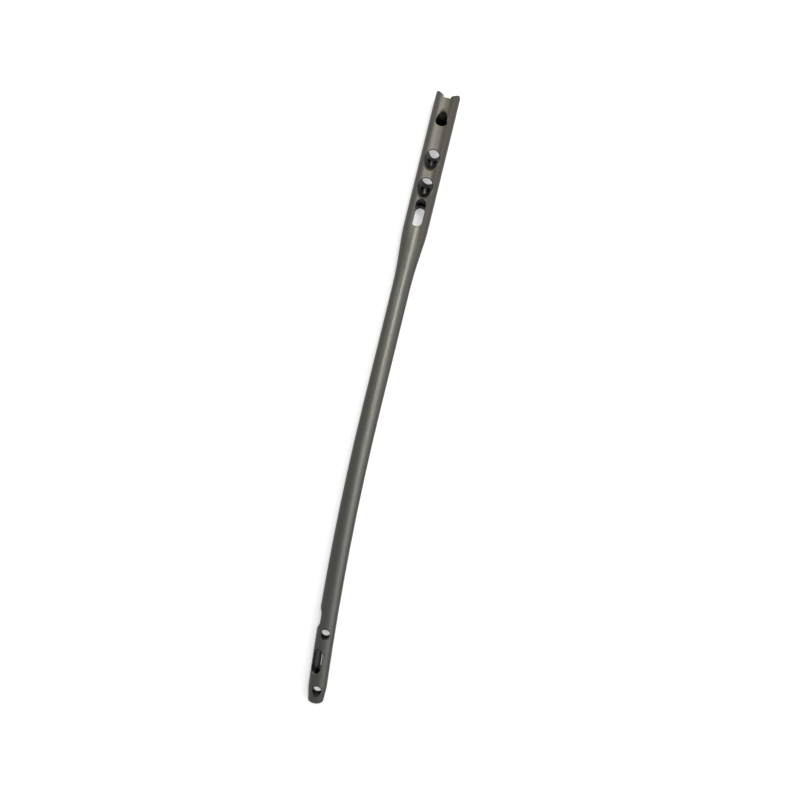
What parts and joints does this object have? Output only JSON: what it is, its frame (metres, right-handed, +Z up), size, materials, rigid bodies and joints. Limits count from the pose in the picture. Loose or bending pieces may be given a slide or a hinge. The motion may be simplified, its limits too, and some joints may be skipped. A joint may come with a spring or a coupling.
{
  "type": "intramedullary nail",
  "caption": "Slender, gently bowed metal rod, hollow along its length, with a thicker notched end and round, oblique and slotted cross holes for the screws that lock it inside a thigh bone.",
  "frame": {"origin": "middle of the footprint of the nail as it lies on a table, at the table's level", "axes": "+Y along the nail towards its thick, notched end; +Z up from the table, which the side holes face within 13 degrees; -X is the side that the bow bulges to"},
  "size_m": [0.0181, 0.32, 0.0139],
  "materials": {
    "titanium": "satin"
  },
  "bodies": {
    "root": {"nail_body": "titanium"}
  },
  "joints": []
}
